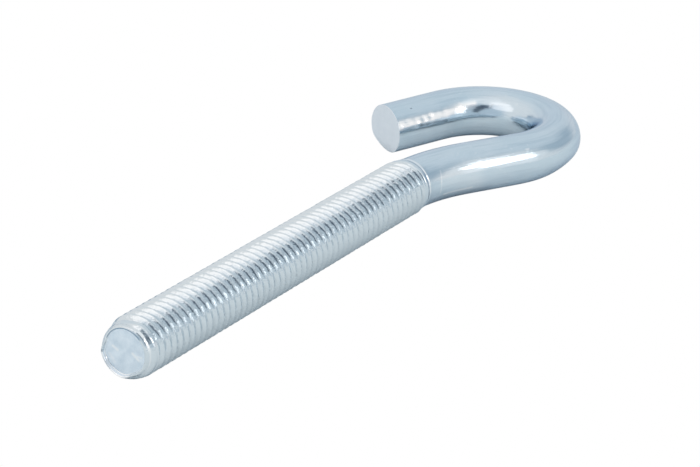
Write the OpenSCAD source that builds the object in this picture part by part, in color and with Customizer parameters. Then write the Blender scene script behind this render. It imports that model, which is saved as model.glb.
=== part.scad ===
// Screw hook: one steel rod, threaded along its shank and bent into an open eye.
// The shank lies along X, the bends lie in the XY plane and the origin is on
// the shank's axis where the straight thread ends and the neck bend starts.

/* [Shank] */
// Diameter over the crests of the thread, mm
thread_d = 7.9; // [7.4:0.05:10]
// Length of the straight threaded shank, free end to neck, mm
thread_len = 62.7; // [20:0.1:150]
// Length over which the thread dies away into the rod, mm
runout_len = 1.8; // [0.8:0.1:4]
// Depth of the last thread ridge left standing above the rod, mm
last_ridge = 0.1; // [0.02:0.01:0.18]
// Diameter of the flat on the free end, mm
face_d = 6; // [4:0.1:6.6]
// Diameter of the lip round the flat, mm
lip_d = 7.1; // [6.7:0.05:7.2]
// Depth of the lip behind the flat, mm
lip_depth = 0.25; // [0.1:0.05:0.5]
// Depth behind the flat where the lead-in reaches the crests, mm
lead_depth = 1.1; // [0.6:0.1:2.5]

/* [Rod and bends] */
// Diameter of the plain rod, mm
rod_d = 7.15; // [5.5:0.05:7.25]
// Centreline radius of the neck bend, mm
neck_r = 22; // [10:0.5:28]
// Angle the neck turns away from the shank, degrees
neck_angle = 31; // [20:0.5:38]
// Inside diameter of the eye, mm
eye_d = 13.5; // [10:0.1:30]
// Distance of the eye's centre from the shank's axis, mm
eye_offset = 1; // [0:0.1:2]
// Turn of the eye from the neck to the tip, degrees
eye_sweep = 190; // [150:1:225]

/* [Tip] */
// Straight length of the tip after the eye, mm
tip_len = 9.8; // [4:0.1:20]
// Tilt of the sheared cut in the plane of the hook, degrees
tip_cut = 2.5; // [0:0.5:10]
// Width of the rolled-over edge across the cut face, mm
roll_width = 1.4; // [0.5:0.1:2]
// Slope of the rolled-over edge from the cut face, degrees
roll_slope = 22; // [10:1:40]
// Place of the rolled-over edge, degrees from the tip's outer side downward
roll_place = 80; // [0:5:180]

/* [Finish] */
// Colour of the zinc plating
zinc = "#b9c6d2"; // [#b9c6d2:bluish zinc, #c9c9c4:plain zinc]

/* [Hidden] */
$fn = 96;

rod_r = rod_d / 2;
crest_r = thread_d / 2;
ridge_r = rod_r + last_ridge;
// How far the run-out's closing cone goes under the rod's surface
buried = 0.3;
// A ball this much larger than the rod closes each joint of bend and straight,
// and each straight stops this far short of the joint, inside the ball
ball_rise = 0.015;
ball_inset = 0.1;
eye_r = eye_d / 2 + rod_r;
// Straight run between the neck bend and the eye, from the eye's offset
neck_run = (eye_r * cos(neck_angle) - neck_r * (1 - cos(neck_angle)) - eye_offset)
    / sin(neck_angle);
neck_end = [neck_r * sin(neck_angle), -neck_r * (1 - cos(neck_angle)), 0];
eye_start = neck_end + neck_run * [cos(neck_angle), -sin(neck_angle), 0];
eye_centre = eye_start + eye_r * [sin(neck_angle), cos(neck_angle), 0];
// Direction from the eye's centre to where the eye's bend starts
first_spoke = -90 - neck_angle;
tip_heading = eye_sweep - neck_angle;
tip_start = eye_centre + eye_r * [sin(tip_heading), -cos(tip_heading), 0];
// Edge of the blocks that cut the tip, longer than the rod left past the cut
shear_block = 6 * rod_d;

// Ball that closes a joint of bend and straight
module joint_ball() {
    rotate([0, 90, 0])
        sphere(r = rod_r + ball_rise);
}

// Straight of the rod along X between two joints, with the balls at both
module straight(length) {
    joint_ball();
    translate([ball_inset, 0, 0])
        rotate([0, 90, 0])
            cylinder(h = length - 2 * ball_inset, d = rod_d);
    translate([length, 0, 0])
        joint_ball();
}

// Bend of the rod about Z, starting on +X and turning left
module bend(radius, angle) {
    rotate_extrude(angle = angle)
        translate([radius, 0])
            circle(d = rod_d);
}

// Threaded shank at crest diameter, with its lead-in and its run-out. The turn
// about its own axis puts the seam of its surface at the top, off the floor.
module shank() {
    translate([-thread_len, 0, 0])
        rotate([0, 90, 0])
            rotate([0, 0, 180])
                rotate_extrude()
                    polygon([
                        [0, 0],
                        [face_d / 2, 0],
                        [lip_d / 2, lip_depth],
                        [crest_r, lead_depth],
                        [crest_r, thread_len],
                        [ridge_r, thread_len + runout_len],
                        [rod_r - buried, thread_len + runout_len + last_ridge + buried],
                        [0, thread_len + runout_len + last_ridge + buried],
                    ]);
}

// Bend and straight run that lead from the shank out to the eye
module neck() {
    translate([0, -neck_r, 0])
        rotate([0, 0, 90 - neck_angle])
            bend(neck_r, neck_angle);
    translate(neck_end)
        rotate([0, 0, -neck_angle])
            straight(neck_run);
}

// Open eye
module eye() {
    translate(eye_centre)
        rotate([0, 0, first_spoke])
            bend(eye_r, eye_sweep);
}

// Block that takes away everything ahead of the tip's cut face
module shear() {
    translate([tip_len, 0, 0])
        rotate([0, 0, -tip_cut])
            translate([0, -shear_block / 2, -shear_block / 2])
                cube(shear_block);
}

// Block that takes away the edge that the shear rolled over
module roll_over() {
    translate([tip_len, 0, 0])
        rotate([0, 0, -tip_cut])
            rotate([180 + roll_place, 0, 0])
                translate([0, rod_r - roll_width, 0])
                    rotate([0, 0, roll_slope])
                        translate([0, -shear_block / 2, -shear_block / 2])
                            cube(shear_block);
}

// Straight tip, made longer than it is and cut off by the shear
module tip() {
    translate(tip_start)
        rotate([0, 0, tip_heading])
            difference() {
                straight(tip_len + rod_d);
                shear();
                roll_over();
            }
}

module hook() {
    color(zinc)
        union() {
            shank();
            neck();
            eye();
            tip();
        }
}

hook();
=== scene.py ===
"""Zinc-plated screw hook: the threaded rod with its open eye, and the stage it lies on."""

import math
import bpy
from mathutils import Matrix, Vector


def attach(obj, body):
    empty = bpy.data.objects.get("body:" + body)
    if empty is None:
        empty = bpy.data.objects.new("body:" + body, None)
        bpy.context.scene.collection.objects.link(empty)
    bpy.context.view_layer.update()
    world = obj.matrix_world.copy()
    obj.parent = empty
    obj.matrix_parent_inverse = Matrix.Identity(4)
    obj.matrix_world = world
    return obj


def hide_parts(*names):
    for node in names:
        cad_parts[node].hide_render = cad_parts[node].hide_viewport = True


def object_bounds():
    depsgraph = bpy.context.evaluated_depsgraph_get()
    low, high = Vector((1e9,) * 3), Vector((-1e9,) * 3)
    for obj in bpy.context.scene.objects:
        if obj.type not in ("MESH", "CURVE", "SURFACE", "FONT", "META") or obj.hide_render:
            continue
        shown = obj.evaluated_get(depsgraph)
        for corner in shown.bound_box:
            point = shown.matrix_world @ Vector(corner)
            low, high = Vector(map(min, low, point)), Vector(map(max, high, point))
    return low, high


bl_info = {
    "name": "Screw hook",
    "version": (1, 0, 0),
    "blender": (4, 5, 0),
    "location": "3D View > Sidebar > Screw hook",
    "description": "Builds a zinc-plated screw hook and the pale stage it lies on",
    "category": "Object",
}

import bpy
import numpy as np
from mathutils import Matrix, Vector

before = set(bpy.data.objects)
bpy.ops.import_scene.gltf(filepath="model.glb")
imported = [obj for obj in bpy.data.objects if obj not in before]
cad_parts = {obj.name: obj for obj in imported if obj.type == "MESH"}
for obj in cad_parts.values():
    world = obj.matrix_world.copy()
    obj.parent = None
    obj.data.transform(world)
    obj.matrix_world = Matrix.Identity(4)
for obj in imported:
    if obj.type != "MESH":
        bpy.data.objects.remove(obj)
CAD_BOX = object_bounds()

MM = 0.001

# Vertices round the rod.
COLUMNS = 96

# The attribute that holds each vertex's place on the unbent rod.
PLACE = "unbent"


# ---------------------------------------------------------------- sizes and colours


def length(name, text, value):
    """A length property, its value given in millimetres."""
    return bpy.props.FloatProperty(
        name=name,
        description=text,
        default=value * MM,
        min=0.0,
        max=1.0,
        precision=5,
        subtype="DISTANCE",
        unit="LENGTH",
    )


def angle(name, text, value):
    """An angle property, its value given in degrees."""
    return bpy.props.FloatProperty(
        name=name, description=text, default=math.radians(value), subtype="ANGLE", unit="ROTATION"
    )


def share(name, text, value, high=1.0):
    """A plain number from nought upward."""
    return bpy.props.FloatProperty(name=name, description=text, default=value, min=0.0, max=high)


def colour(name, text, value):
    """A linear colour property."""
    return bpy.props.FloatVectorProperty(
        name=name, description=text, default=value, size=3, min=0.0, max=1.0, subtype="COLOR"
    )


class HookSizes(bpy.types.PropertyGroup):
    """Sizes of the bent, threaded rod."""

    thread_d: length("Thread diameter", "Diameter over the crests of the thread", 7.9)
    pitch: length("Pitch", "Distance from crest to crest", 1.234)
    first_crest: length("First crest", "Place of the first crest along the axis on the eye's side", 0.774)
    crest_flat: length("Crest flat", "Width of the flat on top of the thread", 0.08)
    arc_width: length("Arc width", "Width of the flanks' rounded upper part along the axis", 0.3)
    upper_tilt: angle("Upper tilt", "Slope of the flanks from the axis at their top", 38.0)
    flank_tilt: angle("Flank tilt", "Slope of the straight flanks from the axis", 60.0)
    root_flat: length("Root width", "Width of the narrow root between the flanks", 0.12)
    thread_len: length("Thread length", "Straight threaded length, free end to neck", 62.7)
    runout_len: length("Run-out", "Length over which the thread dies away", 2.2)
    ridge_height: length("Last ridge", "Height of the thread's last ridge over the rod", 0.07)
    face_d: length("End face", "Diameter of the flat on the free end", 6.0)
    lip_d: length("End lip", "Diameter of the stub behind the lip", 6.73)
    lip_depth: length("Lip depth", "Depth of the lip behind the flat", 0.36)
    lead_depth: length("Lead-in", "Depth where the lead-in reaches the crests", 1.6)
    disc_sink: length("Disc sink", "How much deeper the free end's disc lies on its low side", 0.24)
    disc_lean: angle("Disc lean", "Place of the low side round the free end", -56.0)
    spread_place: angle("Spread place", "Middle of the free end's spread side", -48.0)
    spread_out: length("Spread out", "Most the edge spreads outwards on that side", 0.28)
    spread_ahead: length("Spread ahead", "Most the edge stands forward on that side", 0.42)
    push_place: angle("Push place", "Middle of the side where the lip is pushed back", 165.0)
    push_out: length("Push out", "Most the lip spreads outwards on that side", 0.10)
    push_back: length("Push back", "Most the lip lies further back on that side", 0.20)
    low_place: angle("Low place", "Middle of the lead-in's low side", 60.0)
    low_depth: length("Low depth", "Most the lead-in lies under its round on that side", 0.30)
    nick_depth: length("Nick", "Depth of the nick in the lip", 0.08)
    nick_place: angle("Nick place", "Place of the nick round the lip", -27.0)
    rod_d: length("Rod diameter", "Diameter of the plain rod", 7.15)
    neck_r: length("Neck radius", "Centreline radius of the neck bend", 22.0)
    neck_angle: angle("Neck angle", "Angle the neck turns away from the shank", 31.0)
    eye_d: length("Eye", "Inside diameter of the eye", 13.5)
    eye_offset: length("Eye offset", "Distance of the eye's centre from the shank's axis", 1.0)
    eye_sweep: angle("Eye turn", "Turn of the eye from the neck to the tip", 190.0)
    tip_len: length("Tip", "Straight length after the eye", 9.8)
    tip_cut: angle("Tip cut", "Tilt of the sheared cut in the plane of the hook", 2.5)
    roll_width: length("Rolled edge", "Width of the edge that the shear rolled over", 1.4)
    roll_slope: angle("Roll slope", "Slope of the rolled edge from the cut", 22.0)
    roll_place: angle("Roll place", "Place of the rolled edge round the tip", 80.0)
    bend_blend: length("Bend blend", "Length over which a bend starts and stops", 2.4)
    hammer_depth: length("Hammered strip", "Depth of the strip hammered flat along the tip", 0.027)
    dent_depth: length("Hammer dents", "Depth of the dents along the hammered strip", 0.042)
    hammer_place: angle("Hammer place", "Place of the hammered strip round the tip", 25.0)
    press_depth: length("Pressed side", "Depth of the flat that bending left on the eye's crown", 0.26)
    press_place: angle("Pressed place", "Place of that flat round the rod", 222.0)
    wave_depth: length("Waviness", "Depth of the long waves that bending leaves", 0.012)


class HookFinish(bpy.types.PropertyGroup):
    """Look of the zinc plating."""

    zinc: colour("Zinc", "Reflected colour of the plating", (0.63, 0.74, 0.815))
    thread_zinc: colour("Thread zinc", "Colour of the plating on the thread", (0.735, 0.795, 0.832))
    zinc_pale: colour("Pale zinc", "Reflected colour where the plating is thin", (0.70, 0.785, 0.85))
    # bright is the colour of rubbed scuffs, scratches and tool marks, and also of painted highlights; dark
    # is that of specks and also of painted shade; shade is painted shade, and also darkens the drawn lines
    bright: colour("Bright marks", "Colour of freshly rubbed marks and of painted highlights", (0.97, 0.98, 0.99))
    dark: colour("Dark marks", "Colour of specks and pits, and of painted shade", (0.12, 0.16, 0.22))
    shade: colour("Painted shade", "Colour of painted shade, and of the drawn lines", (0.16, 0.27, 0.40))
    cut_zinc: colour("Cut face", "Reflected colour of the sawn and sheared faces", (0.84, 0.915, 0.985))
    cut_pale: colour("Cut face patches", "Second colour of the cut faces", (0.69, 0.785, 0.87))
    edge_tint: colour("Edge tint", "Tint of the plating seen at a grazing angle", (0.78, 0.82, 0.88))
    rough: share("Roughness", "Roughness of the bright plating", 0.13)
    sheared: colour("Sheared zinc", "Reflected colour of the sheared face", (0.785, 0.815, 0.86))
    cut_rough: share("Cut roughness", "Roughness of the cut faces", 0.42)


class StageLook(bpy.types.PropertyGroup):
    """Floor, lights and camera."""

    floor: colour("Floor", "Colour of the floor", (0.93, 0.96, 0.96))
    sky: share("Room light", "Strength of the light from all round", 0.88, 10.0)
    key: share("Key panel", "Power of the low panel on the near side, watts", 0.5, 200.0)
    key_tint: colour("Key tint", "Colour of the key panel's light", (1.0, 0.94, 0.90))
    side: share("Side panel", "Power of the large panel on the far left, watts", 0.53, 200.0)
    side_tint: colour("Side tint", "Colour of the side panel's light", (1.0, 0.84, 0.76))
    lens: bpy.props.FloatProperty(
        name="Lens", description="Focal length in millimetres", default=147.79, min=20.0, max=400.0
    )


# ---------------------------------------------------------------- shapes


def smooth(t):
    """Goes from 0 to 1 as t goes from 0 to 1, level at both ends: three t squared less two t cubed."""
    t = np.clip(t, 0.0, 1.0)
    return t * t * (3.0 - 2.0 * t)


def near(value, centre, half):
    """A bump of height 1 at centre that has faded to 0 at a distance of half: one less the smooth step."""
    return 1.0 - smooth(np.abs(value - centre) / half)


def turn_from(a, centre):
    """The signed angle from centre to a, brought into half a turn either way."""
    return (a - centre + np.pi) % (2 * np.pi) - np.pi


def side_of(a, centre, flat, fade):
    """One side of a round: 1 within the flat angle of its centre, 0 past the fade beyond it."""
    return smooth((flat + fade - np.abs(turn_from(a, centre))) / fade)


def stretch(s, start, fade_in, stop, fade_out):
    """A stretch of the rod: a smooth step up from its start times a smooth step down to its stop."""
    return smooth((s - start) / fade_in) * smooth((stop - s) / fade_out)


def ripples(points, size, seed, waves=18):
    """Smooth noise between about -1 and 1: a sum of sine waves about size long, in random directions."""
    rng = np.random.default_rng(seed)
    heading = rng.normal(size=(waves, 3))
    heading /= np.linalg.norm(heading, axis=1)[:, None]
    longest, shortest = 0.6, 1.5
    vary = rng.uniform(longest, shortest, waves)
    phase = rng.uniform(0, 2 * np.pi, waves)
    turns = points @ (heading * vary[:, None]).T * (2 * np.pi / size)
    return np.sin(turns + phase).sum(-1) / math.sqrt(waves)


class RodPath:
    """Centreline of the rod, from the free end's flat to the tip, in the plane z = 0.

    Its curvature is 0 on straights and one over the radius on bends, averaged over the blend
    length, and its heading and place are the running sums of curvature and direction. The origin
    is on the shank's axis where the neck starts.
    """

    def __init__(self, sizes):
        eye_r = sizes.eye_d / 2 + sizes.rod_d / 2
        drop = sizes.neck_r * (1 - math.cos(sizes.neck_angle)) + sizes.eye_offset
        run = (eye_r * math.cos(sizes.neck_angle) - drop) / math.sin(sizes.neck_angle)
        lengths = [
            sizes.thread_len,
            sizes.neck_r * sizes.neck_angle,
            run,
            eye_r * sizes.eye_sweep,
            sizes.tip_len,
        ]
        curves = [0.0, -1 / sizes.neck_r, 0.0, 1 / eye_r, 0.0]
        marks = np.cumsum([0.0] + lengths)
        self.total = marks[-1]
        step, spare = 0.02 * MM, 2 * MM
        self.s = np.arange(-spare, self.total + spare, step)
        which = np.clip(np.searchsorted(marks, self.s, side="right") - 1, 0, len(curves) - 1)
        curve = np.array(curves)[which]
        width = max(1, int(round(sizes.bend_blend / step)))
        curve = np.convolve(np.pad(curve, width, mode="edge"), np.ones(width) / width, mode="same")
        curve = curve[width:-width]
        self.heading = np.cumsum(curve) * step
        middle = self.heading - curve * step / 2
        x = np.cumsum(np.cos(middle)) * step
        y = np.cumsum(np.sin(middle)) * step
        # a place on the shank that is clear of the blended start of the neck
        clear = 10 * MM
        self.x = x - np.interp(sizes.thread_len - clear, self.s, x) - clear
        self.y = y - np.interp(sizes.thread_len - clear, self.s, y)

    def place(self, s, across, up):
        """Points of the row frame: the centreline at s, plus across to its left and up along Z."""
        h = np.interp(s, self.s, self.heading)
        x = np.interp(s, self.s, self.x) - across * np.sin(h)
        y = np.interp(s, self.s, self.y) + across * np.cos(h)
        return np.stack([x, y, up + 0 * x], axis=-1)


def thread_profile(sizes):
    """Rows of the net within one turn of the thread, as places and profile heights from 0 to 1.

    From the crest's centre out: a flat, a narrow round shoulder, an arc that gets steeper
    downwards, a straight flank and a narrow root. Each part is a chain of straight steps whose
    tilts are given, so the height is the running sum of step times the tangent of tilt. Returns
    the places, the heights and the depth.
    """
    nodes = np.linspace(sizes.upper_tilt, sizes.flank_tilt, 4)
    arc = (nodes[:-1] + nodes[1:]) / 2
    flat, shoulder, edge = sizes.crest_flat / 2, 0.03 * MM, 0.02 * MM
    arc_steps = sizes.arc_width * np.cos(arc) / np.cos(arc).sum()
    root = sizes.root_flat / 2
    lower = sizes.pitch / 2 - flat - shoulder - sizes.arc_width - edge - root
    steps = np.array([flat, shoulder, *arc_steps, edge, lower, root])
    tilts = [0, nodes[0] / 2, *arc, nodes[-1], sizes.flank_tilt, sizes.flank_tilt / 2]
    half = np.cumsum(steps) / sizes.pitch
    drop = np.cumsum(steps * np.tan(tilts))
    heights = 1 - drop / drop[-1]
    places = np.concatenate([half, 1 - half[-2::-1]])
    return places, np.concatenate([heights, heights[-2::-1]]), drop[-1]


# The rounded chamfer behind the lip: distance behind it and rise above it, in millimetres.
END_CONE = [(0.0, 0.0), (0.16, 0.190), (0.30, 0.340), (0.44, 0.460)]

# Radius and depth of the rings over the free end's edge, in millimetres: the rim of the sunk
# disc, the rounded front of the lip, and its steep outer side.
END_LIP = [
    (2.83, 0.030),
    (2.88, 0.028),
    (2.92, 0.020),
    (2.96, 0.010),
    (3.01, 0.003),
    (3.07, 0.000),
    (3.13, 0.014),
    (3.18, 0.042),
    (3.215, 0.085),
    (3.260, 0.165),
    (3.305, 0.250),
    (3.345, 0.325),
    (3.365, 0.350),
]

# Radius of the sunk disc of the free end, where the step up to its lip starts.
DISC_R = 2.88 * MM


def thread_radius(sizes, s, a, height, full):
    """Radius over the thread at s and angle a: an outer envelope less the depth of the valley there.

    The envelope rises from the end's lip to the crests, lies lower on one side of the lead-in,
    stays level, and falls to the last ridge. The valley's depth is the thread's depth times one
    less the profile's height. It fades in behind the lead-in's cone, earlier on top, and fades to
    a small share of itself before the last ridge. Smooth noise wears the crests down in places.
    """
    crest = sizes.thread_d / 2
    ridge = sizes.rod_d / 2 + sizes.ridge_height
    end = sizes.thread_len + sizes.runout_len
    ridge_fall = 1.4 * MM
    cone_s, cone_r = np.array(END_CONE).T * MM + np.array([[sizes.lip_depth], [sizes.lip_d / 2]])
    outer = np.interp(
        s,
        [0.0, *cone_s, sizes.lead_depth, end - ridge_fall, end],
        [sizes.face_d / 2, *cone_r, crest, crest, ridge],
    )
    low = stretch(s, start=0.2 * MM, fade_in=0.5 * MM, stop=2.4 * MM, fade_out=1.5 * MM)
    outer = outer - sizes.low_depth * low * side_of(a, sizes.low_place, flat=0.4, fade=0.6)

    first_turn, earlier, top, rise_len = 0.3 * MM, 0.4 * MM, 1.45, 0.45 * MM
    start = cone_s[-1] + first_turn - earlier * side_of(a, top, flat=0.4, fade=0.5)
    rise = np.clip((s - start) / rise_len, 0, 1)
    fall_stop, fall_len, left_over = end - 0.1 * MM, 2.6 * MM, 0.12
    fall = smooth((fall_stop - s) / fall_len)
    depth = full * rise * (left_over + (1 - left_over) * fall)

    places = np.stack([s, crest * np.cos(a), crest * np.sin(a)], axis=-1)
    wear, share_of_each = 0.03 * MM, 0.6
    dents = share_of_each * ripples(places, 2.3 * MM, seed=11)
    dents = dents + share_of_each * ripples(places, 0.8 * MM, seed=12)
    worn = wear * np.clip(dents, 0, None) * height
    return outer - depth * (1 - height) - worn * rise


def rod_radius(sizes, path, s, a):
    """Radius of the plain rod: its own, with long waves, less what bending and hammering took.

    The waves are smooth noise on the unbent rod. The outer lower side of the eye's crown is pressed
    in by a smooth hump of depth, which fades out along the rod and round it. A strip along the
    inner upper side of the tip is hammered flat: the depth by which its chord lies under the round,
    with soft edges, and finer noise over it for the dents.
    """
    base = sizes.rod_d / 2
    places = np.stack([s, base * np.cos(a), base * np.sin(a)], axis=-1)
    bend_start, bend_rise, lengthwise = sizes.thread_len + 6 * MM, 8 * MM, 0.35
    bent = smooth((s - bend_start) / bend_rise)
    waves = sizes.wave_depth * bent * ripples(places * np.array([lengthwise, 1.0, 1.0]), 5.0 * MM, seed=21)

    crown, crown_half, crown_turn = sizes.thread_len + 26.5 * MM, 7 * MM, 0.8
    pressed = near(s, crown, crown_half) * near(turn_from(a, sizes.press_place), 0, crown_turn)

    off = turn_from(a, sizes.hammer_place)
    strip_len, strip_fade, strip_half = 9.5 * MM, 3 * MM, 0.34
    along = smooth((s - path.total + strip_len) / strip_fade)
    sunk = sizes.hammer_depth - base * (1 - np.cos(off))
    softness = 0.006 * MM
    facet = softness * np.logaddexp(0, sunk / softness)
    roundwise = 0.8
    dents = ripples(places * np.array([1.0, roundwise, roundwise]), 1.2 * MM, seed=31)
    rough_strip = near(off, 0, strip_half) * sizes.dent_depth * dents
    return base + waves - sizes.press_depth * pressed - along * (facet + rough_strip)


def tip_offset(sizes, rho, a):
    """Distance of the tip's face ahead of the path's end, at radius rho and angle a.

    The cut is a plane tilted in the plane of the hook. The rolled edge falls away from it past a
    chord, at the roll's slope, with a rounded start.
    """
    tilt = rho * np.cos(a) * math.tan(sizes.tip_cut)
    towards = rho * np.cos(a - (math.pi + sizes.roll_place))
    past = towards - (sizes.rod_d / 2 - sizes.roll_width)
    soft = 0.18 * MM
    roll = soft * np.logaddexp(0, past / soft) * math.tan(sizes.roll_slope)
    return tilt - roll


def net_faces(numbers):
    """Two triangles for each cell of a grid of vertex numbers, facing outwards."""
    a, b = numbers[:-1, :-1], numbers[:-1, 1:]
    c, d = numbers[1:, 1:], numbers[1:, :-1]
    one = np.stack([a, b, c], -1).reshape(-1, 3)
    two = np.stack([a, c, d], -1).reshape(-1, 3)
    return np.concatenate([one, two])


def ring_faces(rings):
    """The triangles between neighbouring rings of vertex numbers, each ring closed on itself."""
    rings = np.asarray(rings)
    return net_faces(np.concatenate([rings, rings[:, :1]], axis=1))


def fan_faces(ring, centre, ahead):
    """Triangles from a closed ring to a centre vertex, facing forward along the path if ahead."""
    following = np.roll(ring, -1)
    middle = np.full_like(ring, centre)
    pair = (ring, following) if ahead else (following, ring)
    return np.stack([*pair, middle], 1)


def helical_net(sizes, start, end):
    """Rows that follow the thread, between two rings square to the axis.

    A row's place along the axis is its place in the turn plus one pitch for each turn of angle,
    held between the two rings. Returns the places, angles and radii of the vertices, the triangles,
    and the vertex numbers of the two rings.
    """
    turn_places, turn_heights, depth = thread_profile(sizes)
    n = len(turn_places)
    turns_before, turns_after = 2, 1
    turns = turns_before + math.ceil((end - sizes.first_crest) / sizes.pitch) + turns_after
    k = np.arange(turns * n)
    i = np.arange(COLUMNS)
    angles = 2 * np.pi * i / COLUMNS
    row = (k // n + turn_places[k % n] - turns_before)[:, None]
    s = sizes.first_crest + sizes.pitch * (row + (i / COLUMNS)[None, :])
    a = np.broadcast_to(angles, s.shape)
    height = np.broadcast_to(turn_heights[k % n][:, None], s.shape)
    snap = 0.02 * MM
    ring_a, ring_b = len(k) * COLUMNS + i, (len(k) + 1) * COLUMNS + i
    number = np.arange(s.size).reshape(s.shape)
    number = np.where(s <= start + snap, ring_a[None, :], number)
    number = np.where(s >= end - snap, ring_b[None, :], number)
    # a full turn of angle on, a row goes over into the same row of the next turn
    faces = net_faces(np.concatenate([number[:-n], number[n:, :1]], axis=1))
    whole = (faces != np.roll(faces, -1, axis=1)).all(axis=1)
    faces = faces[whole]
    s = np.concatenate([s.ravel(), np.full(COLUMNS, start), np.full(COLUMNS, end)])
    a = np.concatenate([a.ravel(), angles, angles])
    phase = [((ring - sizes.first_crest) / sizes.pitch - i / COLUMNS) % 1.0 for ring in (start, end)]
    edge = [np.interp(w, turn_places, turn_heights) for w in phase]
    height = np.concatenate([height.ravel(), *edge])
    used, faces = np.unique(faces, return_inverse=True)
    faces = faces.reshape(-1, 3)
    where = np.full(len(s), -1)
    where[used] = np.arange(len(used))
    r = thread_radius(sizes, s[used], a[used], height[used], depth)
    return s[used], a[used], r, faces, where[ring_a], where[ring_b]


def lip_spread(sizes, s, r, a):
    """How far the free end's edge is driven forwards and outwards, at s, r and angle a.

    On the spread side both grow from the centre of the sunk disc out to its rim, forwards again
    over the step up to the lip, and fade out along the lead-in. On the pushed side the lip lies
    further back and out instead. Outwards, the share left is the part of the way to the crests.
    """
    crest = sizes.thread_d / 2
    disc = np.clip(r / DISC_R, 0, 1)
    step_width, disc_part = 0.19 * MM, 0.5
    step = smooth((r - DISC_R) / step_width)
    room = np.clip((crest - r) / (crest - sizes.lip_d / 2), 0, 1)

    spread_stop, spread_fade = 1.9 * MM, 1.5 * MM
    spread = side_of(a, sizes.spread_place, flat=0.55, fade=0.6) * smooth((spread_stop - s) / spread_fade)
    ahead = sizes.spread_ahead * (disc_part * disc**2 + (1 - disc_part) * step)

    push_rise, push_stop, push_fade = 0.4 * MM, 2.2 * MM, 1.6 * MM
    pushed = side_of(a, sizes.push_place, flat=0.6, fade=0.6) * smooth((r - DISC_R) / push_rise)
    pushed = pushed * smooth((push_stop - s) / push_fade)
    out = (sizes.spread_out * spread * disc + sizes.push_out * pushed) * room
    return ahead * spread - sizes.push_back * pushed, out


def free_end_rings(sizes, angles):
    """Places and radii of the rings from near the free end's centre out over its lip.

    The end is dished a little. Its disc leans: it lies deeper by half the sink times one plus the
    cosine of the angle from its low side times its share of the radius, and the step at its rim
    takes that back. The nick is a smooth dent across the lip. Also returns the number of rings on
    the disc and the depth of its centre.
    """
    disc_shares = np.array([0.12, 0.3, 0.5, 0.68, 0.82, 0.92, 0.98])
    lip_rows = np.array(END_LIP) * MM
    flat = disc_shares * END_LIP[0][0] * MM
    rows = np.concatenate([np.stack([flat, 0 * flat + lip_rows[0, 1]], 1), lip_rows])
    r = rows[:, :1] + 0 * angles
    s = rows[:, 1:] + 0 * angles
    dish_depth, step_width = 0.02 * MM, 0.17 * MM
    dish = dish_depth * near(r, 0, sizes.face_d / 2)
    lean = sizes.disc_sink / 2 * (1 + r / DISC_R * np.cos(angles - sizes.disc_lean))
    s = s + lean * smooth((DISC_R + step_width - r) / step_width)
    nick_turn, nick_half = 0.2, 0.25 * MM
    nick = near(turn_from(angles, sizes.nick_place), 0, nick_turn) * near(r, sizes.face_d / 2, nick_half)
    s = s + dish + sizes.nick_depth * nick
    return s, r, len(flat), lip_rows[0, 1] + dish.max() + sizes.disc_sink / 2


def rod_rings(sizes, path, angles):
    """Places and radii of the rings along the plain rod, from the last ridge to the tip's rim.

    They lie closer together behind the ridge and along the tip. The ridge's height fades into the
    rod, and along the last of the tip the rings are moved until they lie on the rim of its cut.
    """
    start = sizes.thread_len + sizes.runout_len
    behind_ridge = start + np.array([0.1, 0.2, 0.35, 0.5, 0.8]) * MM
    rod_from, rod_to, spacing = start + 1.2 * MM, path.total - 11 * MM, 0.62 * MM
    tip_from, tip_to, tip_rings = path.total - 10.8 * MM, path.total - 0.35 * MM, 34
    before_rim = path.total + np.array([-0.2, -0.1, -0.05]) * MM
    along_rod = np.arange(rod_from, rod_to, spacing)
    along_tip = np.linspace(tip_from, tip_to, tip_rings)
    stops = np.concatenate([behind_ridge, along_rod, along_tip, before_rim])
    s = stops[:, None] + 0 * angles
    r = rod_radius(sizes, path, s, 0 * s + angles)
    ridge_fade, rim_fade = 1.1 * MM, 3 * MM
    r = r + sizes.ridge_height * smooth((start + ridge_fade - s) / ridge_fade)
    rim = tip_offset(sizes, sizes.rod_d / 2, angles)
    return s + rim * smooth((s - path.total + rim_fade) / rim_fade), r


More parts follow.
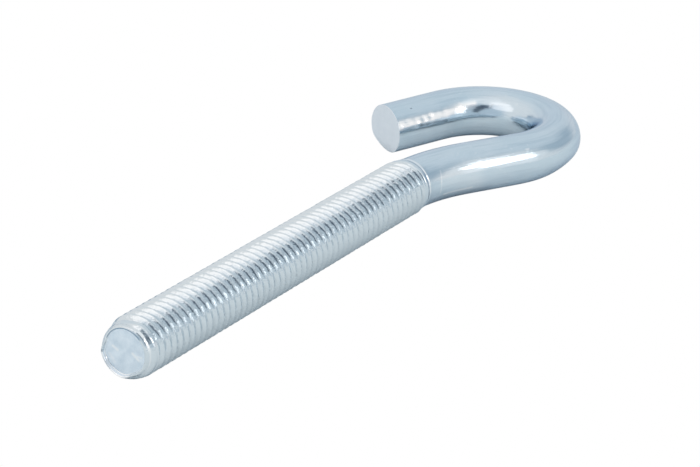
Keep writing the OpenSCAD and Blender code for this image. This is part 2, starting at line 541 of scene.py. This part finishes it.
def hook_surface(sizes):
    """The whole hook as one closed surface.

    Rings run from the centre of the free end out to its lip, along the threaded shank as a helical
    net, along the bent rod, and over the sheared tip to its centre. Their places on the unbent rod
    come first. Then the free end's edge is spread, and the path bends them. Returns the points,
    their unbent places, the triangles, and which triangles are cut faces.
    """
    path = RodPath(sizes)
    angles = 2 * np.pi * np.arange(COLUMNS) / COLUMNS
    shank_end = sizes.thread_len + sizes.runout_len
    face_s, face_r, disc_rings, centre_depth = free_end_rings(sizes, angles)
    gap = 0.03 * MM
    net_start = END_LIP[-1][1] * MM + gap
    s, a, r, net, ring_a, ring_b = helical_net(sizes, net_start, shank_end)
    rod_s, rod_r = rod_rings(sizes, path, angles)
    tip_shares = np.array([0.985, 0.955, 0.91, 0.86, 0.8, 0.74, 0.68, 0.62, 0.55, 0.47, 0.38, 0.28, 0.15])
    tip_r = tip_shares[:, None] * rod_r[-1]
    tip_s = path.total + tip_offset(sizes, tip_r, angles)

    # the net's vertices come first, then the rings of each grid, then both centres
    grids = [(face_s, face_r), (rod_s, rod_r), (tip_s, tip_r)]
    starts = np.cumsum([len(s)] + [g.size for g, _ in grids])
    face_n, rod_n, tip_n = [
        np.arange(g.size).reshape(g.shape) + at for (g, _), at in zip(grids, starts[:-1])
    ]
    low, high = starts[-1], starts[-1] + 1
    skin = [
        ring_faces(face_n[disc_rings:]),
        ring_faces([face_n[-1], ring_a]),
        net,
        ring_faces([ring_b, rod_n[0]]),
        ring_faces(rod_n),
    ]
    cut = [
        fan_faces(face_n[0], low, ahead=False),
        ring_faces(face_n[: disc_rings + 1]),
        ring_faces([rod_n[-1], tip_n[0]]),
        ring_faces(tip_n),
        fan_faces(tip_n[-1], high, ahead=True),
    ]
    faces = np.concatenate(skin + cut)
    is_cut = np.arange(len(faces)) >= sum(len(f) for f in skin)

    s = np.concatenate([s, *(g.ravel() for g, _ in grids), [centre_depth, path.total]])
    r = np.concatenate([r, *(g.ravel() for _, g in grids), [0.0, 0.0]])
    a = np.concatenate([a, *(np.tile(angles, len(g)) for g, _ in grids), [0.0, 0.0]])
    places = np.stack([s, r * np.cos(a), r * np.sin(a)], axis=-1)
    ahead, out = lip_spread(sizes, s, r, a)
    points = path.place(s - ahead, (r + out) * np.cos(a), (r + out) * np.sin(a))
    return points, places, faces, is_cut


def mesh_object(name, points, faces, places=None):
    """A smooth-shaded object of triangles, with the unbent places as a point attribute.

    The normal at a vertex is the sum of its triangles' normals, each times its area, so that
    narrow triangles along a sharp edge don't tilt the wide ones beside them.
    """
    mesh = bpy.data.meshes.new(name)
    mesh.vertices.add(len(points))
    mesh.vertices.foreach_set("co", points.astype(np.float32).ravel())
    mesh.loops.add(faces.size)
    mesh.loops.foreach_set("vertex_index", faces.astype(np.int32).ravel())
    mesh.polygons.add(len(faces))
    mesh.polygons.foreach_set("loop_start", np.arange(0, faces.size, 3, dtype=np.int32))
    mesh.polygons.foreach_set("loop_total", np.full(len(faces), 3, np.int32))
    mesh.polygons.foreach_set("use_smooth", np.ones(len(faces), bool))
    if places is not None:
        kept = mesh.attributes.new(PLACE, "FLOAT_VECTOR", "POINT")
        kept.data.foreach_set("vector", places.astype(np.float32).ravel())
    mesh.update()
    mesh.validate()
    corners = points[faces]
    facing = np.cross(corners[:, 1] - corners[:, 0], corners[:, 2] - corners[:, 0])
    normals = np.stack(
        [np.bincount(faces.ravel(), np.repeat(facing[:, k], 3), len(points)) for k in range(3)], 1
    )
    normals /= np.linalg.norm(normals, axis=1)[:, None]
    mesh.normals_split_custom_set_from_vertices(normals)
    thing = bpy.data.objects.new(name, mesh)
    bpy.context.scene.collection.objects.link(thing)
    return thing


# ---------------------------------------------------------------- finishes


# Width of a column and height of a row of nodes in a node tree.
COLUMN_WIDTH, ROW_HEIGHT = 200, 240


def add(tree, kind, inputs=None, **settings):
    """A node of that kind. Each of its inputs is given a value, or an output socket to link to it.

    It stands one column to the right of the nodes that feed it, under the others of its column.
    """
    node = tree.nodes.new(kind)
    for key, value in settings.items():
        setattr(node, key, value)
    column = 0
    for key, value in (inputs or {}).items():
        if isinstance(value, bpy.types.NodeSocket):
            tree.links.new(value, node.inputs[key])
            column = max(column, value.node.location.x + COLUMN_WIDTH)
        else:
            node.inputs[key].default_value = value
    above = sum(other.location.x == column for other in tree.nodes if other != node)
    node.location = (column, -above * ROW_HEIGHT)
    return node


def maths(tree, operation, *values, clamp=False):
    """The result of a calculation on values or output sockets."""
    inputs = dict(enumerate(values))
    return add(tree, "ShaderNodeMath", inputs, operation=operation, use_clamp=clamp).outputs[0]


def vector_maths(tree, operation, *values, **named):
    """The result of a calculation on vectors: a number for a product, length or distance."""
    inputs = {**dict(enumerate(values)), **named}
    node = add(tree, "ShaderNodeVectorMath", inputs, operation=operation)
    is_number = operation in ("DOT_PRODUCT", "LENGTH", "DISTANCE")
    return node.outputs["Value" if is_number else "Vector"]


def spread_over(tree, value, start, stop, low=0.0, high=1.0, soft=False):
    """Takes a value's range from start to stop to low to high, and holds it there past both ends."""
    inputs = {"Value": value, "From Min": start, "From Max": stop, "To Min": low, "To Max": high}
    kind = "SMOOTHSTEP" if soft else "LINEAR"
    return add(tree, "ShaderNodeMapRange", inputs, interpolation_type=kind).outputs["Result"]


def along_rod(tree, place):
    """The part of an unbent place that lies along the rod."""
    return add(tree, "ShaderNodeSeparateXYZ", {0: place}).outputs["X"]


def noise(tree, place, scale, detail, **named):
    """The value of a noise texture at a place."""
    inputs = {"Vector": place, "Scale": scale, "Detail": detail, **named}
    return add(tree, "ShaderNodeTexNoise", inputs).outputs["Fac"]


def bump(tree, height, strength, distance, **named):
    """The normal that a height gives, over the surface's own or over a given one."""
    inputs = {"Height": height, "Strength": strength, "Distance": distance, **named}
    return add(tree, "ShaderNodeBump", inputs).outputs["Normal"]


# Places of the colour sockets among those of a mix node.
MIX_FIRST, MIX_SECOND, MIX_RESULT = 6, 7, 2


def mix_colours(tree, factor, first, second):
    """The mix of two colours by a factor. Each is given as a colour or as an output socket."""
    inputs = {"Factor": factor}
    for key, value in ((MIX_FIRST, first), (MIX_SECOND, second)):
        inputs[key] = value if isinstance(value, bpy.types.NodeSocket) else (*value, 1.0)
    node = add(tree, "ShaderNodeMix", inputs, data_type="RGBA", clamp_factor=True)
    return node.outputs[MIX_RESULT]


def new_group(name, output, **inputs):
    """An empty shader node group with one output, as its tree and the sockets of its inputs.

    An input is given its default number, or None when it is a vector.
    """
    tree = bpy.data.node_groups.new(name, "ShaderNodeTree")
    for title, value in inputs.items():
        kind = "NodeSocketVector" if value is None else "NodeSocketFloat"
        socket = tree.interface.new_socket(title, in_out="INPUT", socket_type=kind)
        if value is not None:
            socket.default_value = value
    tree.interface.new_socket(output, in_out="OUTPUT", socket_type="NodeSocketFloat")
    return tree, add(tree, "NodeGroupInput").outputs


def end_group(tree, result):
    """The group's tree, once its result is linked to its output."""
    add(tree, "NodeGroupOutput", {0: result})
    return tree


def use_group(tree, group, **inputs):
    """The output of a group placed in a tree, with its inputs as values or output sockets."""
    return add(tree, "ShaderNodeGroup", inputs, node_tree=group).outputs[0]


def cloud_group():
    """Soft patches on the unbent rod: noise with its contrast raised about one half, held in 0 to 1."""
    tree, given = new_group("plating_clouds", "Mask", Place=None, Size=300.0, Contrast=1.0)
    patches = noise(tree, given["Place"], given["Size"], 4.0, Roughness=0.6)
    spread = maths(tree, "SUBTRACT", patches, 0.5)
    gain = maths(tree, "MULTIPLY", spread, given["Contrast"])
    return end_group(tree, maths(tree, "ADD", gain, 0.5, clamp=True))


def drawn_group():
    """Fine lines along the rod, left by drawing it: noise on places squeezed along the rod."""
    tree, given = new_group("drawn_lines", "Height", Place=None, Squeeze=0.04, Size=4000.0)
    along = add(tree, "ShaderNodeCombineXYZ", {"X": given["Squeeze"], "Y": 1.0, "Z": 1.0})
    scaled = vector_maths(tree, "MULTIPLY", given["Place"], along.outputs[0])
    return end_group(tree, noise(tree, scaled, given["Size"], 3.0, Roughness=0.55))


def scuff_group():
    """Scattered small scuffs: the peaks of a fine noise, kept where a coarse noise is high."""
    tree, given = new_group("scuffs", "Mask", Place=None, Size=900.0, Amount=0.5)
    patch_size, peak_from, peak_full, patch_from, patch_full = 160.0, 0.58, 0.72, 0.42, 0.62
    fine = noise(tree, given["Place"], given["Size"], 5.0, Roughness=0.7, Distortion=0.6)
    coarse = noise(tree, given["Place"], patch_size, 2.0)
    peaks = spread_over(tree, fine, peak_from, peak_full, soft=True)
    where = spread_over(tree, coarse, patch_from, patch_full, soft=True)
    both = maths(tree, "MULTIPLY", peaks, where)
    return end_group(tree, maths(tree, "MULTIPLY", both, given["Amount"]))


def straight_mark_group():
    """A straight mark between two places: 1 on it, fading to 0 at its width from it.

    The distance is to the nearest point of the segment, found from the place's share along it
    held between 0 and 1.
    """
    tree, given = new_group("straight_mark", "Mask", Place=None, From=None, To=None, Width=0.0001)
    offset = vector_maths(tree, "SUBTRACT", given["Place"], given["From"])
    span = vector_maths(tree, "SUBTRACT", given["To"], given["From"])
    reach = vector_maths(tree, "DOT_PRODUCT", offset, span)
    square = vector_maths(tree, "DOT_PRODUCT", span, span)
    part = maths(tree, "DIVIDE", reach, square, clamp=True)
    foot = vector_maths(tree, "SCALE", span, Scale=part)
    gap = vector_maths(tree, "DISTANCE", offset, foot)
    return end_group(tree, spread_over(tree, gap, 0.0, given["Width"], low=1.0, high=0.0, soft=True))


def ring_group():
    """Part of a ring round the axis: 1 on it, fading to 0 at its width from it.

    The distance is that to a circle of the radius at the place along the rod, and the part is the
    one round the given direction, past which the mask fades by the cosine of the angle.
    """
    tree, given = new_group(
        "ring_mark", "Mask", Place=None, Along=0.0, Radius=0.003, Width=0.0001, Towards=None, Reach=0.5
    )
    flat = vector_maths(tree, "MULTIPLY", given["Place"], (0.0, 1.0, 1.0))
    radius = vector_maths(tree, "LENGTH", flat)
    outward = maths(tree, "SUBTRACT", radius, given["Radius"])
    along = maths(tree, "SUBTRACT", along_rod(tree, given["Place"]), given["Along"])
    gap = add(tree, "ShaderNodeCombineXYZ", {"X": outward, "Y": along})
    distance = vector_maths(tree, "LENGTH", gap.outputs[0])
    on_ring = spread_over(tree, distance, 0.0, given["Width"], low=1.0, high=0.0, soft=True)
    heading = vector_maths(tree, "NORMALIZE", flat)
    cosine = vector_maths(tree, "DOT_PRODUCT", heading, given["Towards"])
    fade = 0.12
    full = maths(tree, "ADD", given["Reach"], fade)
    in_reach = spread_over(tree, cosine, given["Reach"], full, soft=True)
    return end_group(tree, maths(tree, "MULTIPLY", on_ring, in_reach))


# Marks on the cut faces: place along the rod and across and up from its axis at both ends of the
# mark, its width, all in millimetres, and its strength.
FACE_MARKS = [
    ((0.1, 1.89, 0.18), (0.1, 1.15, -0.17), 0.3, 1.0),
    ((0.1, 2.20, -0.81), (0.1, 1.53, -1.70), 0.3, 0.6),
    ((0.1, -1.02, -0.12), (0.1, -1.86, -0.77), 0.34, 0.8),
    ((0.1, -1.77, -0.32), (0.1, -2.35, -0.35), 0.25, 0.5),
]

# Marks on the plating: place along the rod in millimetres and angle round it in degrees at both
# ends of the mark, its width in millimetres, its strength, and whether it is dark. A few are real
# tool marks and a speck; the others are painted light: a soft painted light patch on the neck,
# painted shade along the neck's underside and under the tip's hammered strip, a painted glint on
# a nick, and a painted highlight along the hammered strip.
ROD_MARKS = [
    # painted light: a soft light patch on the side of the neck
    ((69.0, 165), (74.5, 190), 2.6, 0.3, False),
    ((68.2, 147), (67.9, 171), 0.25, 0.55, False),
    ((67.9, 171), (67.8, 197), 0.25, 0.55, False),
    ((68.8, 206), (74.4, 207), 0.30, 0.8, False),
    # painted shade along the underside of the neck, near the floor
    ((66.5, 228), (77.0, 226), 1.6, 0.3, True),
    # painted shade: a dark reflection under the hammered strip of the tip
    ((127.6, 12), (123.9, 14), 0.4, 0.55, True),
    ((123.9, 14), (119.3, 9), 0.4, 0.6, True),
    # painted glint on a small nick
    ((83.3, 139), (83.6, 139), 0.25, 0.7, False),
    ((124.5, 58), (124.65, 58), 0.16, 0.8, True),
    # painted highlight along the hammered strip of the tip
    ((112.8, 36), (116.0, 33), 0.8, 0.9, False),
    ((116.0, 33), (119.0, 28), 1.1, 0.95, False),
    ((119.0, 26), (122.0, 25), 1.0, 0.85, False),
    ((122.0, 26), (125.2, 24), 1.2, 0.9, False),
    ((125.2, 24), (127.6, 25), 1.3, 0.9, False),
]

# Marks on the lip of the free end: both ends as on the cut faces, width, strength, and whether dark.
# The first three are the painted shade and painted highlight of the nick; the last two darken a
# patch in the first groove of the thread.
LIP_MARKS = [
    # painted shade and a painted highlight in the nick
    ((0.05, 3.08, -0.50), (0.05, 3.10, -0.65), 0.22, 0.9, True),
    ((0.14, 2.88, -1.20), (0.14, 2.84, -1.34), 0.40, 1.0, True),
    ((0.10, 3.06, -0.88), (0.10, 3.02, -1.02), 0.30, 1.0, False),
    # a dark patch in the first groove of the thread
    ((0.50, 3.52, 2.24), (0.62, 3.66, 2.46), 0.16, 0.8, True),
    ((0.64, 3.68, 2.44), (0.74, 3.78, 2.70), 0.32, 1.0, True),
]

# Marks that run round the rod: place along it, radius and width in millimetres, the middle angle
# and the half turn that the mark takes up in degrees, its strength, and the colour's name. All are
# painted light: painted shade round the free end's disc, painted highlights and a painted
# reflection over its lip, painted shade dimming a highlight behind the lip, and painted highlights
# on the first crest and the last ridge.
RING_MARKS = [
    # painted shade round the rim of the free end's disc and in its groove
    (0.04, 2.92, 0.17, 80, 62, 0.9, "shade"),
    (0.05, 2.88, 0.08, -90, 110, 0.2, "shade"),
    # painted highlights on the lip's front, its right side and its ridge
    (0.0, 3.07, 0.09, 70, 60, 0.6, "bright"),
    (0.17, 3.29, 0.42, 153, 24, 1.0, "bright"),
    (0.24, 3.37, 0.18, 195, 48, 0.8, "bright"),
    # painted reflection of the floor on the lip's lower left
    (0.08, 3.02, 0.42, -56, 48, 1.0, "bright"),
    # painted shade dimming the highlight behind the lip
    (0.82, 3.84, 0.16, 150, 24, 0.5, "shade"),
    # painted highlights on the first crest and on the last ridge
    (1.36, 3.93, 0.10, 175, 42, 0.5, "bright"),
    (65.0, 3.65, 0.34, 110, 80, 0.6, "bright"),
]


def lay_mark(tree, mask, strength, under, tint):
    """Lays a mark's colour over the one under it, by its mask times its strength."""
    return mix_colours(tree, maths(tree, "MULTIPLY", mask, strength), under, tint)


def add_straight_marks(tree, group, place, marks, base):
    """Lays straight marks one after another. Each is its ends and width in mm, strength and colour.
    Some are real scratches and tool marks, some painted highlights and painted shade.
    """
    for start, end, width, strength, tint in marks:
        ends = {"From": Vector(start) * MM, "To": Vector(end) * MM}
        mask = use_group(tree, group, Place=place, Width=width * MM, **ends)
        base = lay_mark(tree, mask, strength, base, tint)
    return base


def add_rings(tree, group, place, finish, base):
    """Lays the marks that run round the rod, all painted highlights and painted shade, one after another
    over a colour.
    """
    for along, radius, width, middle, half, strength, tint in RING_MARKS:
        middle = math.radians(middle)
        mask = use_group(
            tree,
            group,
            Place=place,
            Along=along * MM,
            Radius=radius * MM,
            Width=width * MM,
            Towards=(0.0, math.cos(middle), math.sin(middle)),
            Reach=math.cos(math.radians(half)),
        )
        base = lay_mark(tree, mask, strength, base, getattr(finish, tint))
    return base


def bare_tree(owner):
    """The emptied node tree of a material or a world."""
    owner.use_nodes = True
    owner.node_tree.nodes.clear()
    return owner.node_tree


def blank_material(name):
    """A material with only its unbent places, as the material, its tree and the places."""
    material = bpy.data.materials.new(name)
    tree = bare_tree(material)
    place = add(tree, "ShaderNodeAttribute", attribute_name=PLACE, attribute_type="GEOMETRY")
    return material, tree, place.outputs["Vector"]


def add_metal(tree, inputs):
    """The shader of a metal with those inputs, and the material's output."""
    shader = add(tree, "ShaderNodeBsdfPrincipled", {"Metallic": 1.0, **inputs})
    add(tree, "ShaderNodeOutputMaterial", {"Surface": shader.outputs[0]})


def plating_colour(tree, sizes, finish, groups, place, clouds, lines, scuffs):
    """Colour of the plating: two clouded tints, rubbed scuffs and dark drawn lines, and the marks, many of
    them painted highlights and painted shade.

    The thread has a colour of its own, which fades into that of the rod behind the last turns.
    """
    rubbed_share, line_from, line_full, line_share = 0.6, 0.48, 0.68, 0.13
    base = mix_colours(tree, clouds, finish.zinc, finish.zinc_pale)
    rubbed = maths(tree, "MULTIPLY", scuffs, rubbed_share)
    base = mix_colours(tree, rubbed, base, finish.bright)
    drawn = spread_over(tree, lines, line_from, line_full, high=line_share)
    base = mix_colours(tree, drawn, base, finish.shade)
    start, stop = sizes.thread_len, sizes.thread_len + 3 * MM
    past = spread_over(tree, along_rod(tree, place), start, stop)
    base = mix_colours(tree, past, finish.thread_zinc, base)
    rod_r = sizes.rod_d / 2 / MM
    marks = []
    # the rod's and lip's marks: real tool marks and a speck, and painted highlights, a painted glint and
    # painted shade
    for first, last, width, strength, dark in ROD_MARKS:
        turned = [(s, math.radians(a)) for s, a in (first, last)]
        ends = [(s, rod_r * math.cos(a), rod_r * math.sin(a)) for s, a in turned]
        marks.append((*ends, width, strength, dark))
    tints = {True: finish.dark, False: finish.bright}
    marks = [(*mark, tints[dark]) for *mark, dark in marks + LIP_MARKS]
    base = add_straight_marks(tree, groups["straight_mark"], place, marks, base)
    # the marks round the rod, all painted highlights and painted shade
    return add_rings(tree, groups["ring"], place, finish, base)


def plating_normal(tree, sizes, groups, place, lines, scuffs):
    """Normal of the plating: small lumps, mostly in the thread, then drawn lines and scuffs."""
    start, stop, on_rod = sizes.thread_len, sizes.thread_len + 1 * MM, 0.25
    share_left = spread_over(tree, along_rod(tree, place), start, stop, low=1.0, high=on_rod)
    lumps = use_group(tree, groups["clouds"], Place=place, Size=1500.0, Contrast=1.0)
    height = maths(tree, "MULTIPLY", lumps, share_left)
    normal = bump(tree, height, strength=1.0, distance=0.04 * MM)
    normal = bump(tree, lines, strength=1.0, distance=0.04 * MM, Normal=normal)
    return bump(tree, scuffs, strength=0.4, distance=0.03 * MM, Normal=normal)


def plating_material(sizes, finish, groups):
    """Bright zinc: clouded tint, drawn lines, scuffs and marks (many of them painted highlights and painted
    shade), with roughness and bump from them.
    """
    material, tree, place = blank_material("zinc_plating")
    clouds = use_group(tree, groups["clouds"], Place=place, Size=170.0, Contrast=2.4)
    lines = use_group(tree, groups["lines"], Place=place, Squeeze=0.07, Size=1600.0)
    scuffs = use_group(tree, groups["scuffs"], Place=place, Size=1500.0, Amount=0.6)
    smoothest, roughest, scuffed = finish.rough * 0.8, finish.rough * 1.25, 0.12
    rough = spread_over(tree, clouds, 0.0, 1.0, smoothest, roughest)
    inputs = {
        "Base Color": plating_colour(tree, sizes, finish, groups, place, clouds, lines, scuffs),
        "Specular Tint": (*finish.edge_tint, 1.0),
        "Roughness": maths(tree, "MULTIPLY_ADD", scuffs, scuffed, rough),
        "Normal": plating_normal(tree, sizes, groups, place, lines, scuffs),
    }
    add_metal(tree, inputs)
    return material


def cut_material(finish, groups):
    """The sawn and sheared faces: duller zinc with soft clouds, a few rubbed marks and fine scuffs."""
    material, tree, place = blank_material("zinc_cut_face")
    clouds = use_group(tree, groups["clouds"], Place=place, Size=900.0, Contrast=2.6)
    scuffs = use_group(tree, groups["scuffs"], Place=place, Size=1800.0, Amount=1.0)
    base = mix_colours(tree, clouds, finish.cut_zinc, finish.cut_pale)
    tip_from, tip_to, tip_share = 100 * MM, 110 * MM, 0.8
    at_tip = spread_over(tree, along_rod(tree, place), tip_from, tip_to, high=tip_share)
    base = mix_colours(tree, at_tip, base, finish.sheared)
    marks = [(*mark, finish.bright) for mark in FACE_MARKS]
    smoothest, roughest = finish.cut_rough * 0.9, finish.cut_rough * 1.15
    inputs = {
        "Base Color": add_straight_marks(tree, groups["straight_mark"], place, marks, base),
        "Roughness": spread_over(tree, clouds, 0.0, 1.0, smoothest, roughest),
        "Normal": bump(tree, scuffs, strength=0.5, distance=0.03 * MM),
    }
    add_metal(tree, inputs)
    return material


# ---------------------------------------------------------------- stage


# How far the light panels stand from the hook, in metres.
PANEL_DISTANCE = 0.9

# Place of the camera in millimetres, the azimuth and elevation it looks along and its roll in degrees.
CAMERA_PLACE = (-311.7, -190.2, 144.3)
CAMERA_HEADING = (32.458, -22.447)
CAMERA_ROLL = 0.158


def heading_vector(azimuth, elevation):
    """The direction at an azimuth from +X towards +Y and an elevation, both in degrees."""
    a, e = math.radians(azimuth), math.radians(elevation)
    return Vector((math.cos(a) * math.cos(e), math.sin(a) * math.cos(e), math.sin(e)))


def patch_group():
    """A round patch of the sky: 1 within the inner cosine of its centre, 0 past the outer one."""
    tree, given = new_group("sky_patch", "Mask", Direction=None, Centre=None, Outer=0.5, Inner=0.9)
    cosine = vector_maths(tree, "DOT_PRODUCT", given["Direction"], given["Centre"])
    return end_group(tree, spread_over(tree, cosine, given["Outer"], given["Inner"], soft=True))


# Patches of the room round the stage: azimuth and elevation of the centre, the angles within
# which a patch is full and past which it is gone, all in degrees, and its colour.
ROOM_PATCHES = [
    ("right side", -33, 35, 14, 43, (0.50, 0.60, 0.68)),
    ("behind the eye", 84, -2, 10, 20, (0.26, 0.38, 0.50)),
    ("upper right", -25, 62, 5, 40, (0.80, 0.87, 0.92)),
    ("far side", 35, 40, 10, 45, (0.84, 0.90, 0.94)),
    ("camera side", -150, 8, 30, 62, (0.62, 0.72, 0.80)),
    ("ceiling", -168, 68, 10, 22, (1.08, 1.08, 1.08)),
    ("under the key", -95, 8, 4, 17, (1.12, 1.12, 1.12)),
    ("beside the key", -75, 21, 3, 12, (1.02, 1.02, 1.02)),
    ("high on the near side", -108, 60, 5, 20, (1.14, 1.14, 1.14)),
    ("operator", -159, 37, 4, 10, (0.20, 0.25, 0.31)),
    ("operator's arm", -149, 38, 6, 12, (0.14, 0.18, 0.23)),
    ("operator's shoulder", -128, 36, 5, 13, (0.50, 0.57, 0.64)),
    ("beside the operator", -111, 29, 5, 12, (0.60, 0.66, 0.72)),
    ("operator's hand", -141, 30, 5, 12, (0.10, 0.13, 0.17)),
    ("camera", -132, 21, 5, 11, (0.14, 0.18, 0.22)),
]


def room_world(look):
    """A pale room with its patches mixed one after another over a sky that is a little paler above."""
    world = bpy.data.worlds.new("pale_room")
    bpy.context.scene.world = world
    tree = bare_tree(world)
    direction = add(tree, "ShaderNodeTexCoord").outputs["Generated"]
    parts = add(tree, "ShaderNodeSeparateXYZ", {0: direction})
    even_from, low_tone, high_tone = 0.8, 0.96, 1.0
    so_far = spread_over(tree, parts.outputs["Z"], 0.0, even_from, low_tone, high_tone)
    group = patch_group()
    for title, azimuth, elevation, inner, outer, tint in ROOM_PATCHES:
        mask = use_group(
            tree,
            group,
            Direction=direction,
            Centre=heading_vector(azimuth, elevation),
            Inner=math.cos(math.radians(inner)),
            Outer=math.cos(math.radians(outer)),
        )
        mask.node.label = title
        so_far = mix_colours(tree, mask, so_far, tint)
    background = add(tree, "ShaderNodeBackground", {"Color": so_far, "Strength": look.sky})
    add(tree, "ShaderNodeOutputWorld", {"Surface": background.outputs[0]})


def place_thing(name, data, place, towards, roll):
    """An object at a place, its Z axis along a direction and rolled about it by degrees."""
    thing = bpy.data.objects.new(name, data)
    aim = towards.to_track_quat("Z", "Y").to_matrix().to_4x4()
    thing.matrix_world = Matrix.Translation(place) @ aim @ Matrix.Rotation(math.radians(roll), 4, "Z")
    bpy.context.scene.collection.objects.link(thing)
    return thing


def panel_light(name, shape, azimuth, elevation, roll):
    """A panel that faces the hook from the panels' distance, hidden from the camera, as its light."""
    light = bpy.data.lights.new(name, "AREA")
    light.shape = shape
    towards = heading_vector(azimuth, elevation)
    panel = place_thing(name, light, towards * PANEL_DISTANCE, towards, roll)
    panel.visible_camera = False
    return light


def light_up(light, watts, tint, wide, high):
    """Gives a panel's light its power, colour and size in metres."""
    light.energy, light.color = watts, tint
    light.size, light.size_y = wide, high


def stage_camera(look):
    """The scene's camera."""
    view = bpy.data.cameras.new("camera")
    view.lens, view.sensor_width = look.lens, 36.0
    view.clip_start, view.clip_end = 0.01, 50.0
    place, back = Vector(CAMERA_PLACE) * MM, -heading_vector(*CAMERA_HEADING)
    bpy.context.scene.camera = place_thing("camera", view, place, back, CAMERA_ROLL)


def floor_material(look):
    """Pale matt floor that looks evenly lit where the camera itself sees it."""
    material = bpy.data.materials.new("pale_floor")
    tree = bare_tree(material)
    matt = add(tree, "ShaderNodeBsdfDiffuse", {"Color": (*look.floor, 1.0)})
    lit = add(tree, "ShaderNodeEmission", {"Color": (1, 1, 1, 1), "Strength": 1.0})
    path = add(tree, "ShaderNodeLightPath")
    inputs = {0: path.outputs["Is Camera Ray"], 1: matt.outputs[0], 2: lit.outputs[0]}
    seen = add(tree, "ShaderNodeMixShader", inputs)
    add(tree, "ShaderNodeOutputMaterial", {"Surface": seen.outputs[0]})
    return material


# ---------------------------------------------------------------- operators


class SCREWHOOK_OT_hook(bpy.types.Operator):
    """Build the screw hook: shank with its thread, neck, open eye and sheared tip, in zinc"""

    bl_idname = "screwhook.hook"
    bl_label = "Build hook"

    def execute(self, context):
        sizes, finish = context.scene.hook_sizes, context.scene.hook_finish
        points, places, faces, is_cut = hook_surface(sizes)
        piece = mesh_object("screw_hook", points, faces, places)
        if len(piece.data.polygons) != len(faces):
            raise RuntimeError("the hook's surface has faces that don't hold")
        groups = {
            "clouds": cloud_group(),
            "lines": drawn_group(),
            "scuffs": scuff_group(),
            "straight_mark": straight_mark_group(),
            "ring": ring_group(),
        }
        piece.data.materials.append(plating_material(sizes, finish, groups))
        piece.data.materials.append(cut_material(finish, groups))
        piece.data.polygons.foreach_set("material_index", is_cut.astype(np.int32))
        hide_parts("hook")
        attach(piece, "root")
        return {"FINISHED"}


class SCREWHOOK_OT_stage(bpy.types.Operator):
    """Build the stage: pale floor under the hook, soft panels, the room's light and the camera"""

    bl_idname = "screwhook.stage"
    bl_label = "Build stage"

    def execute(self, context):
        look = context.scene.stage_look
        low, half = CAD_BOX[0].z, 5.0
        corners = np.array([[-half, -half, low], [half, -half, low], [half, half, low], [-half, half, low]])
        floor = mesh_object("floor", corners, np.array([[0, 1, 2], [0, 2, 3]]))
        floor.data.materials.append(floor_material(look))
        room_world(look)
        key = panel_light("key_panel", "RECTANGLE", azimuth=-93, elevation=25, roll=22)
        light_up(key, look.key, look.key_tint, wide=0.28, high=0.34)
        side = panel_light("side_panel", "ELLIPSE", azimuth=163, elevation=41, roll=30)
        light_up(side, look.side, look.side_tint, wide=0.86, high=0.66)
        stage_camera(look)
        context.scene.view_settings.view_transform = "Standard"
        return {"FINISHED"}


class SCREWHOOK_PT_panel(bpy.types.Panel):
    """Sizes, finish and stage of the screw hook"""

    bl_idname = "SCREWHOOK_PT_panel"
    bl_label = "Screw hook"
    bl_space_type = "VIEW_3D"
    bl_region_type = "UI"
    bl_category = "Screw hook"

    def draw(self, context):
        layout = self.layout
        for title, group, button in (
            ("Sizes", context.scene.hook_sizes, "screwhook.hook"),
            ("Finish", context.scene.hook_finish, None),
            ("Stage", context.scene.stage_look, "screwhook.stage"),
        ):
            box = layout.box()
            box.label(text=title)
            for name in group.__annotations__:
                box.prop(group, name)
            if button:
                box.operator(button)


CLASSES = (
    HookSizes,
    HookFinish,
    StageLook,
    SCREWHOOK_OT_hook,
    SCREWHOOK_OT_stage,
    SCREWHOOK_PT_panel,
)


def register():
    """Registers the classes and puts their settings on the scene."""
    for kind in CLASSES:
        bpy.utils.register_class(kind)
    bpy.types.Scene.hook_sizes = bpy.props.PointerProperty(type=HookSizes)
    bpy.types.Scene.hook_finish = bpy.props.PointerProperty(type=HookFinish)
    bpy.types.Scene.stage_look = bpy.props.PointerProperty(type=StageLook)


def unregister():
    """Takes the settings and the classes away again."""
    del bpy.types.Scene.stage_look
    del bpy.types.Scene.hook_finish
    del bpy.types.Scene.hook_sizes
    for kind in reversed(CLASSES):
        bpy.utils.unregister_class(kind)


def main():
    """Builds the hook and its stage."""
    register()
    bpy.ops.screwhook.hook()
    bpy.ops.screwhook.stage()


if __name__ == "__main__":
    main()
